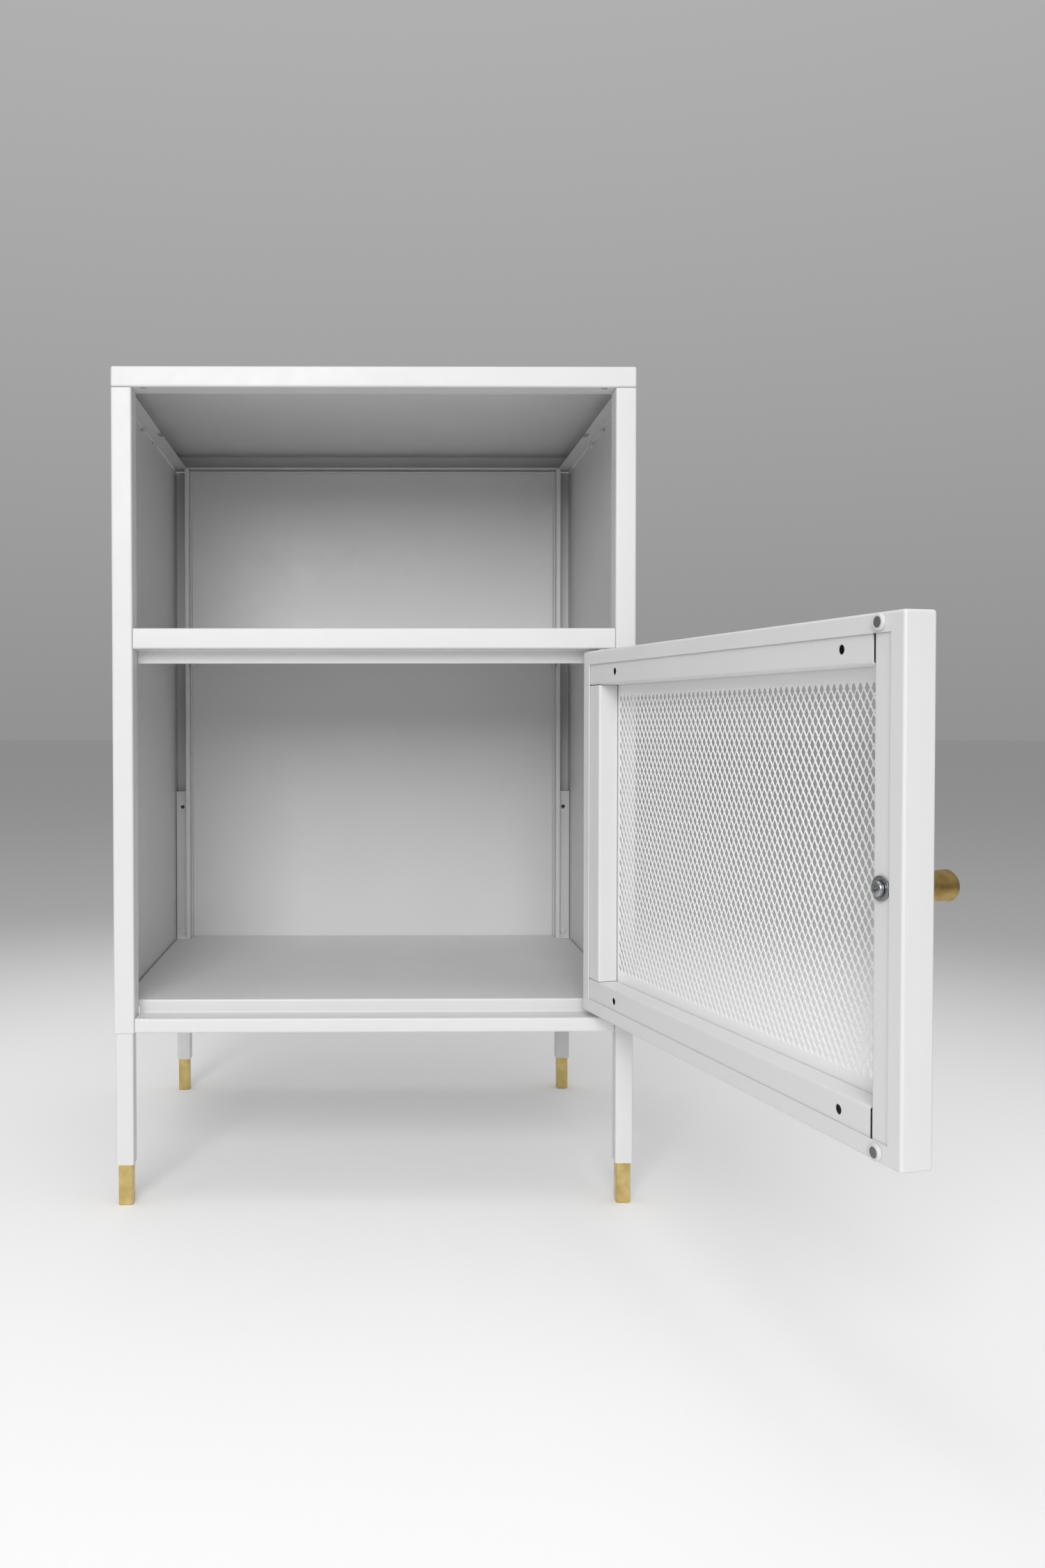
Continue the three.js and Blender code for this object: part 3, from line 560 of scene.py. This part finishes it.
def diamond_sheet(width, height, sizes):
    """Expanded metal: a rectangle tiled by staggered rhombi, each with a smaller rhombic hole.

    A hole's corners lie on the rhombus shrunk by the strand's width, its sides bow out a little, and
    its points lean out of the sheet in proportion to their height in the cell, which twists the
    strands. Half rhombi along the edges and the border around them stay solid. Returns the points
    and one array of faces for each number of corners.
    """
    across, up = width - 2 * sizes.border_side, height - 2 * sizes.border_end
    columns, rows = round(across / sizes.strand_pitch), round(up / sizes.strand_rise)
    a, b = across / columns / 2, up / rows / 2
    whole = np.meshgrid(np.arange(columns) + 0.5, np.arange(rows) + 0.5, indexing="ij")
    between = np.meshgrid(np.arange(1.0, columns), np.arange(1.0, rows), indexing="ij")
    steps = np.vstack([np.stack(part, axis=-1).reshape(-1, 2) for part in (whole, between)])
    centres = np.array([-across / 2, -up / 2]) + 2 * np.array([a, b]) * steps

    outer = np.array([[a, 0], [0, b], [-a, 0], [0, -b]])
    shrink = 1 - sizes.strand / 2 * math.hypot(a, b) / (a * b)
    middles = (outer + np.roll(outer, -1, axis=0)) / 2
    inner = np.stack([outer * shrink * HOLE_BLUNT, middles * shrink * HOLE_BOW], axis=1).reshape(-1, 2)
    lean = -inner[:, 1] / b * sizes.strand_lift
    ring = np.concatenate([np.hstack([outer, np.zeros((4, 1))]), np.column_stack([inner, lean])])
    cells = np.concatenate([centres, np.zeros((len(centres), 1))], axis=1)[:, None, :] + ring
    sides = np.array([[k, (k + 1) % 4, 4 + (2 * k + 2) % 8, 5 + 2 * k, 4 + 2 * k] for k in range(4)])
    strands = (np.arange(len(centres)) * len(ring))[:, None, None] + sides

    quads, triangles = edge_fill(width, height, across, up, columns, rows)
    flat = np.concatenate([quads.reshape(-1, 2), triangles.reshape(-1, 2)])
    points = np.vstack([cells.reshape(-1, 3), np.hstack([flat, np.zeros((len(flat), 1))])])
    after_cells = cells.shape[0] * cells.shape[1]
    after_quads = after_cells + quads.shape[0] * 4
    quad_faces = np.arange(after_cells, after_quads).reshape(-1, 4)
    triangle_faces = np.arange(after_quads, len(points)).reshape(-1, 3)

    keys = np.round(points / WELD_GRID).astype(np.int64)
    _, keep, same = np.unique(keys, axis=0, return_index=True, return_inverse=True)
    same = same.ravel()
    return points[keep], [same[faces] for faces in (strands.reshape(-1, 5), quad_faces, triangle_faces)]


def thickened(points, faces, thickness):
    """A sheet made solid: the faces are copied half the thickness up and down along Z, and every edge
    that belongs to one face only gets a wall between the two."""
    count = len(points)
    lift = np.array([0, 0, thickness / 2])
    edges = np.concatenate([
        np.stack([loops, np.roll(loops, -1, axis=1)], axis=-1).reshape(-1, 2) for loops in faces])
    one_way, other_way = edges[:, 0] * count + edges[:, 1], edges[:, 1] * count + edges[:, 0]
    start, end = edges[~np.isin(one_way, other_way)].T
    walls = np.stack([start, start + count, end + count, end], axis=-1)
    under = [loops[:, ::-1] + count for loops in faces]
    return np.vstack([points + lift, points - lift]), [*faces, *under, walls]


# ------------------------------------------------------------------ screws and placed pieces
HEAD_RIM = 0.35  # share of a screw head's height below its dome
RECESS_REACH = 0.56  # an arm of the recess, as a share of the head's radius
RECESS_FADE = 0.8  # the recess has run out here, as a share of the head's radius
RECESS_BLUR = 0.12 * MM
SEAT_ROUNDING = 0.15 * MM


def soft_edge(distance):
    """One where the distance is below zero and nothing above it: 1 / (1 + e^(4 distance / blur))."""
    return 1 / (1 + np.exp(np.clip(distance / RECESS_BLUR * 4, -40, 40)))


def screw_surface(head_radius, head_height, shank_radius, length, sizes, sides=72):
    """A pan-head screw along +Z with its seat at zero: the head is a flat-topped dome,
    height = H (1 - (r / R)^4)^0.5, less a cross-shaped recess; below it come the seat and the shank."""
    angles = np.linspace(0, 2 * math.pi, sides, endpoint=False)
    radii = head_radius * np.sin(np.linspace(0, math.pi / 2, 40))
    x, y = radii[:, None] * np.cos(angles), radii[:, None] * np.sin(angles)
    base = HEAD_RIM * head_height
    dome = base + (head_height - base) * np.sqrt(np.maximum(0, 1 - (radii / head_radius) ** 4))[:, None]
    half_arm, reach = sizes.recess_arm / 2, RECESS_REACH * head_radius
    across = soft_edge(np.abs(x) - half_arm) * soft_edge(np.abs(y) - reach)
    upright = soft_edge(np.abs(y) - half_arm) * soft_edge(np.abs(x) - reach)
    fade = np.clip(1 - radii / (RECESS_FADE * head_radius), 0, 1)[:, None] ** 0.5
    top = dome - sizes.recess * np.maximum(across, upright) * fade
    head = np.stack([x, y, top], axis=-1)
    under = rounded([(head_radius, base), (head_radius, 0), (shank_radius, 0), (shank_radius, -length),
                     (0, -length)], SEAT_ROUNDING)
    return np.concatenate([head, turned_surface(under[1:], sides)], axis=0)


def coated_sheet(node, ending, body, edge):
    """A frame node with its edges softened, in the white coat."""
    piece = link(node + ending, softened_copy(node), body, finish("powder_coat_white"), [node])
    soften_edges(piece, edge)


def cabinet_piece(name, surface, axis, place, material, node, wrap_rows=False):
    """Places a surface on the cabinet and makes its piece."""
    mesh = grid_mesh(name, lay_along(surface, axis, place), wrap_rows)
    link(name, mesh, CABINET, finish(material), [node])


def door_piece(name, surface, axis, place, material, node, wrap_rows=False, smooth=35.0):
    """Places a surface in the closed door, opens it with the door and makes its piece."""
    points = turn(lay_along(surface, axis, place), OPEN_ANGLE)
    link(name, grid_mesh(name, points, wrap_rows), DOOR, finish(material), [node], smooth)


# ------------------------------------------------------------------ operators
class LOCKER_OT_panels(bpy.types.Operator):
    """Finishes the folded panels of the body"""

    bl_idname = "locker.panels"
    bl_label = "Folded panels"
    bl_options = {"REGISTER", "UNDO"}

    def execute(self, context):
        for node in SHEET_NODES:
            coated_sheet(node, "_sheet", CABINET, context.scene.locker_sizes.edge)
        return {"FINISHED"}


class LOCKER_OT_legs(bpy.types.Operator):
    """Finishes the four square leg tubes"""

    bl_idname = "locker.legs"
    bl_label = "Leg tubes"
    bl_options = {"REGISTER", "UNDO"}

    def execute(self, context):
        for node in LEG_NODES:
            coated_sheet(node, "_tube", CABINET, context.scene.locker_sizes.tube_edge)
        return {"FINISHED"}


class LOCKER_OT_feet(bpy.types.Operator):
    """Makes the brass feet as chamfered square cups"""

    bl_idname = "locker.feet"
    bl_label = "Brass feet"
    bl_options = {"REGISTER", "UNDO"}

    def execute(self, context):
        for node in (leg.replace("leg", "foot") for leg in LEG_NODES):
            low, high = box(node)
            points = self.cup((high[0] - low[0]) / 2, high[2] - low[2])
            middle = np.array([(low[0] + high[0]) / 2, (low[1] + high[1]) / 2, low[2]])
            mesh = grid_mesh(node + "_bar", points + middle)
            link(node + "_bar", mesh, CABINET, finish("brushed_brass"), [node])
        return {"FINISHED"}

    @staticmethod
    def cup(half, top):
        """A square cup: at each point (half width, height) of its profile it is a rounded square, and
        both ends of the profile close in a point on the axis."""
        wall, corner, chamfer = 1.0 * MM, 1.2 * MM, 0.6 * MM
        rounding, least_corner = 0.3 * MM, 0.25 * MM
        start, inside = 0.4 * half, 2 * wall
        line = [(start, inside), (half - wall, inside), (half - wall, top), (half, top),
                (half, chamfer), (half - chamfer, 0), (start, 0)]
        size, tall = rounded(line, rounding, 3).T
        flat = rounded_square(size, np.maximum(corner - (half - size), least_corner))
        rings = np.concatenate([flat, np.broadcast_to(tall[:, None, None], (*flat.shape[:2], 1))], axis=-1)
        to_axis = np.array([0, 0, 1])
        return np.concatenate([rings[:1] * to_axis, rings, rings[-1:] * to_axis])


class LOCKER_OT_rivets(bpy.types.Operator):
    """Makes the painted rivets that hold the legs"""

    bl_idname = "locker.rivets"
    bl_label = "Leg rivets"
    bl_options = {"REGISTER", "UNDO"}

    def execute(self, context):
        head, shank, reach, rounding = 1.1 * MM, 1.5 * MM, 2.5 * MM, 0.1 * MM
        rim = 0.2 * head
        arc = np.linspace(0, math.pi / 2, 12)
        for leg in LEG_NODES:
            node = leg.replace("leg", "leg_rivet")
            low, high = box(node)
            radius = (high[2] - low[2]) / 2
            dome = np.column_stack([radius * np.sin(arc), rim + (head - rim) * np.cos(arc)])
            below = rounded([(radius, rim), (radius, 0), (shank, 0), (shank, -reach), (0, -reach)], rounding)
            surface = turned_surface(np.vstack([dome, below[1:]]), 40)
            axis, seat = ("-y", low[1] + head) if "rear" in node else ("y", high[1] - head)
            place = ((low[0] + high[0]) / 2, seat, (low[2] + high[2]) / 2)
            cabinet_piece(node + "_head", surface, axis, place,
                          "powder_coat_white", node)
        return {"FINISHED"}


class LOCKER_OT_body_screws(bpy.types.Operator):
    """Makes the screws that hold the shelf and the floor to the posts"""

    bl_idname = "locker.body_screws"
    bl_label = "Body screws"
    bl_options = {"REGISTER", "UNDO"}

    def execute(self, context):
        head, shank, sides = 1.5 * MM, 1.75 * MM, 36
        sizes = context.scene.locker_sizes
        for name in (f"{board}_screw_{end}" for board in ("shelf", "floor") for end in ("front", "rear")):
            for side, axis in (("left", "x"), ("right", "-x")):
                node = f"{name}_{side}"
                low, high = box(node)
                length = high[0] - low[0] - head
                seat = high[0] - head if side == "left" else low[0] + head
                place = (seat, (low[1] + high[1]) / 2, (low[2] + high[2]) / 2)
                surface = screw_surface((high[2] - low[2]) / 2, head, shank, length, sizes, sides)
                cabinet_piece(node + "_pan", surface, axis, place, "zinc_plate", node)
        return {"FINISHED"}


class LOCKER_OT_door_frame(bpy.types.Operator):
    """Finishes the door pan and its four inner channels"""

    bl_idname = "locker.door_frame"
    bl_label = "Door pan and channels"
    bl_options = {"REGISTER", "UNDO"}

    def execute(self, context):
        for node in ("door_pan", *CHANNEL_NODES):
            coated_sheet(node, "_sheet", DOOR, context.scene.locker_sizes.edge)
        return {"FINISHED"}


class LOCKER_OT_door_mesh(bpy.types.Operator):
    """Makes the expanded metal panel with its twisted strands"""

    bl_idname = "locker.door_mesh"
    bl_label = "Expanded mesh"
    bl_options = {"REGISTER", "UNDO"}

    def execute(self, context):
        sizes = context.scene.locker_sizes
        low, high = closed_box("door_mesh")
        flat, flat_faces = diamond_sheet(high[0] - low[0], high[2] - low[2], sizes)
        points, faces = thickened(flat, flat_faces, sizes.strand_thick)
        placed = turn(lay_along(points, "-y", (low + high) / 2), OPEN_ANGLE)
        mesh = bpy.data.meshes.new("door_mesh_strands")
        mesh.from_pydata(placed, [], [loop for loops in faces for loop in loops.tolist()])
        # The strands' coat is painted lighter than the body's: painted highlight.
        link("door_mesh_strands", cleaned(mesh), DOOR, finish("powder_coat_mesh"),
             ["door_mesh"], smooth=50)
        return {"FINISHED"}


class LOCKER_OT_magnets(bpy.types.Operator):
    """Makes the magnets and the cups that carry them"""

    bl_idname = "locker.magnets"
    bl_label = "Magnets"
    bl_options = {"REGISTER", "UNDO"}

    def execute(self, context):
        stem, proud, pocket = 1.6 * MM, 2.0 * MM, 0.08 * MM
        cup_rounding, disc_rounding = 0.35 * MM, 0.2 * MM
        lip = 0.87  # the cup's front rim, as a share of its radius
        floor = proud / 2
        for end in ("bottom", "top"):
            low, high = closed_box(f"magnet_cup_{end}")
            disc_low, disc_high = closed_box(f"magnet_{end}")
            radius, disc = (high[2] - low[2]) / 2, (disc_high[2] - disc_low[2]) / 2
            reach = high[1] - low[1] - proud
            place = ((low[0] + high[0]) / 2, high[1] - proud, (low[2] + high[2]) / 2)
            cup = rounded([(0, floor), (disc + pocket, floor), (disc + pocket, proud), (lip * radius, proud),
                           (radius, floor), (radius, pocket), (stem, pocket), (stem, -reach), (0, -reach)],
                          cup_rounding)
            door_piece(f"magnet_cup_{end}_ring", turned_surface(cup, 56), "y", place,
                       "moulded_nylon", f"magnet_cup_{end}")
            body = rounded([(0, proud), (disc, proud), (disc, floor + pocket), (0, floor + pocket)],
                           disc_rounding)
            door_piece(f"magnet_{end}_disc", turned_surface(body, 48), "y", place,
                       "ground_ferrite", f"magnet_{end}")
        return {"FINISHED"}


class LOCKER_OT_knob(bpy.types.Operator):
    """Makes the turned brass knob"""

    bl_idname = "locker.knob"
    bl_label = "Brass knob"
    bl_options = {"REGISTER", "UNDO"}

    def execute(self, context):
        low, high = closed_box("knob")
        widest, length = (high[2] - low[2]) / 2, high[1] - low[1]
        base, end, bore, depth = 6.6 * MM, 4.0 * MM, 2.3 * MM, 10 * MM
        shoulder = 0.82 * widest
        body = [(0, depth), (bore, depth), (bore, 0), (base, 0), (widest, length - 3.0 * MM),
                (shoulder, length - 1.0 * MM), (end, length), (0, length)]
        profile = rounded(body, context.scene.locker_sizes.knob_edge, 6)
        place = ((low[0] + high[0]) / 2, high[1], (low[2] + high[2]) / 2)
        door_piece("knob_turned", turned_surface(profile, 96), "-y", place, "turned_brass", "knob",
                   smooth=28)
        return {"FINISHED"}


class LOCKER_OT_knob_fixing(bpy.types.Operator):
    """Makes the knob's screw and washer on the inside of the door"""

    bl_idname = "locker.knob_fixing"
    bl_label = "Knob screw and washer"
    bl_options = {"REGISTER", "UNDO"}

    def execute(self, context):
        head, shank, hole, rounding = 2.6 * MM, 2.0 * MM, 2.3 * MM, 0.25 * MM
        low, high = closed_box("knob_screw")
        x, z = (low[0] + high[0]) / 2, (low[2] + high[2]) / 2
        screw = screw_surface((high[2] - low[2]) / 2, head, shank, high[1] - low[1] - head,
                              context.scene.locker_sizes)
        door_piece("knob_screw_pan", screw, "y", (x, high[1] - head, z), "zinc_plate",
                   "knob_screw")
        low, high = closed_box("knob_washer")
        outer, thick = (high[2] - low[2]) / 2, high[1] - low[1]
        middle = (outer + hole) / 2
        line = rounded([(middle, 0), (hole, 0), (hole, thick), (outer, thick), (outer, 0), (middle, 0)],
                       rounding)
        door_piece("knob_washer_ring", turned_surface(line[:-1], 64), "y", (x, low[1], z),
                   "zinc_plate", "knob_washer", wrap_rows=True)
        return {"FINISHED"}


class LOCKER_OT_hinges(bpy.types.Operator):
    """Makes the pivot pins and their nylon bushes"""

    bl_idname = "locker.hinges"
    bl_label = "Pivot pins and bushes"
    bl_options = {"REGISTER", "UNDO"}

    def execute(self, context):
        for end, axis in (("bottom", "z"), ("top", "-z")):
            self.pin(end, axis)
            self.bush(end, axis)
        return {"FINISHED"}

    @staticmethod
    def pin(end, axis):
        """A headed pin with a chamfered tip, turned from its profile."""
        shank, head, rounding = 2.0 * MM, 1.6 * MM, 0.3 * MM
        low, high = box(f"hinge_pin_{end}")
        tall, radius = high[2] - low[2], (high[0] - low[0]) / 2
        line = rounded([(0, 0), (radius, 0), (radius, head), (shank, head), (shank, tall - shank / 2),
                        (shank / 2, tall), (0, tall)], rounding)
        place = (PIVOT[0], PIVOT[1], low[2] if end == "bottom" else high[2])
        cabinet_piece(f"hinge_pin_{end}_bar", turned_surface(line, 40), axis, place,
                      "zinc_plate", f"hinge_pin_{end}")

    @staticmethod
    def bush(end, axis):
        """A bush with a collar, turned from its closed profile."""
        bore, sleeve, length, rounding = 2.3 * MM, 3.4 * MM, 3.0 * MM, 0.3 * MM
        low, high = closed_box(f"hinge_bush_{end}")
        tall, collar = high[2] - low[2], (high[0] - low[0]) / 2
        seat = tall - length - rounding
        line = rounded([(bore, tall / 2), (bore, 0), (collar, 0), (collar, seat), (sleeve, seat),
                        (sleeve, tall), (bore, tall), (bore, tall / 2)], rounding)
        place = (PIVOT[0], PIVOT[1], low[2] if end == "bottom" else high[2])
        door_piece(f"hinge_bush_{end}_sleeve", turned_surface(line[:-1], 48), axis, place,
                   "moulded_nylon", f"hinge_bush_{end}", wrap_rows=True)


# ------------------------------------------------------------------ studio
class LOCKER_OT_stage(bpy.types.Operator):
    """Sets up the floor, the camera and the studio light"""

    bl_idname = "locker.stage"
    bl_label = "Stage"
    bl_options = {"REGISTER", "UNDO"}

    def execute(self, context):
        settings = context.scene.locker_stage
        self.add_floor()
        self.add_camera(context, settings)
        self.add_light("key", settings.key, KEY_PLACE, KEY_SIZE)
        self.add_light("top", settings.top, TOP_PLACE, TOP_SIZE)
        self.add_sky(context, settings)
        context.scene.view_settings.view_transform = "Standard"
        return {"FINISHED"}

    def add_sky(self, context, settings):
        """An even white light whose strength rises from the horizon to straight above."""
        world = bpy.data.worlds.new("Studio")
        world.use_nodes = True
        tree = world.node_tree
        background = tree.nodes["Background"]
        background.inputs["Color"].default_value = (1, 1, 1, 1)
        direction = add_node(tree, "ShaderNodeTexCoord").outputs["Generated"]
        upward = add_node(tree, "ShaderNodeSeparateXYZ", {"Vector": direction}).outputs["Z"]
        light = add_node(tree, "ShaderNodeMapRange", {
            "Value": upward, "To Min": settings.horizon, "To Max": settings.sky})
        tree.links.new(light.outputs["Result"], background.inputs["Strength"])
        context.scene.world = world

    def add_floor(self):
        """A round flat floor: rings of points (r cos t, r sin t, 0) about the cabinet's middle."""
        angles = np.linspace(0, 2 * math.pi, 64, endpoint=False)
        radii = np.array(FLOOR_RADII)[:, None]
        rings = [radii * np.cos(angles), radii * np.sin(angles), np.zeros((len(radii), len(angles)))]
        mesh = grid_mesh("studio_floor", np.stack(rings, axis=-1) + STAGE_MIDDLE)
        floor = bpy.data.objects.new("studio_floor", mesh)
        bpy.context.scene.collection.objects.link(floor)
        mesh.shade_smooth()
        # The floor's material is pale near the cabinet and fades into painted shade further out.
        mesh.materials.append(finish("studio_paint"))

    def add_camera(self, context, settings):
        """The camera looks along +Y, turned by its heading, dip and lean."""
        camera = bpy.data.objects.new("camera", bpy.data.cameras.new("camera"))
        context.scene.collection.objects.link(camera)
        camera.location = settings.camera
        camera.rotation_euler = (math.pi / 2 - settings.dip, settings.lean, -settings.heading)
        camera.data.sensor_width = SENSOR_MM
        camera.data.lens = settings.lens
        camera.data.shift_x, camera.data.shift_y = settings.shift
        camera.data.clip_start = NEAR_CLIP
        camera.data.clip_end = FAR_CLIP
        context.scene.camera = camera

    def add_light(self, name, power, place, size):
        """A large square area light that looks at the middle of the cabinet and its open door."""
        light = bpy.data.objects.new(name, bpy.data.lights.new(name, "AREA"))
        bpy.context.scene.collection.objects.link(light)
        light.data.energy = power
        light.data.size = size
        light.location = place
        aim = (Vector(cad_box[0]) + Vector(cad_box[1])) / 2
        light.rotation_euler = (aim - light.location).to_track_quat("-Z", "Y").to_euler()


PIECE_OPERATORS = (
    LOCKER_OT_panels, LOCKER_OT_legs, LOCKER_OT_feet, LOCKER_OT_rivets, LOCKER_OT_body_screws,
    LOCKER_OT_door_frame, LOCKER_OT_door_mesh, LOCKER_OT_magnets, LOCKER_OT_knob,
    LOCKER_OT_knob_fixing, LOCKER_OT_hinges,
)


class LOCKER_PT_sidebar(bpy.types.Panel):
    """Lists the settings and the operators."""

    bl_idname = "LOCKER_PT_sidebar"
    bl_label = "Locker cabinet"
    bl_space_type = "VIEW_3D"
    bl_region_type = "UI"
    bl_category = "Locker"

    def draw(self, context):
        for group in SETTINGS:
            settings = getattr(context.scene, group)
            column = self.layout.column()
            for name in settings.__annotations__:
                column.prop(settings, name)
        for operator in (*PIECE_OPERATORS, LOCKER_OT_stage):
            self.layout.operator(operator.bl_idname)


SETTINGS = {"locker_finish": LockerFinish, "locker_sizes": LockerSizes, "locker_stage": LockerStage}


def register():
    for name, group in SETTINGS.items():
        bpy.utils.register_class(group)
        setattr(bpy.types.Scene, name, bpy.props.PointerProperty(type=group))
    for operator in (*PIECE_OPERATORS, LOCKER_OT_stage, LOCKER_PT_sidebar):
        bpy.utils.register_class(operator)


def unregister():
    for operator in (LOCKER_PT_sidebar, LOCKER_OT_stage, *reversed(PIECE_OPERATORS)):
        bpy.utils.unregister_class(operator)
    for name, group in SETTINGS.items():
        delattr(bpy.types.Scene, name)
        bpy.utils.unregister_class(group)


def main():
    """Makes every piece and the stage."""
    register()
    for operator in (*PIECE_OPERATORS, LOCKER_OT_stage):
        group, name = operator.bl_idname.split(".")
        getattr(getattr(bpy.ops, group), name)()


if __name__ == "__main__":
    main()
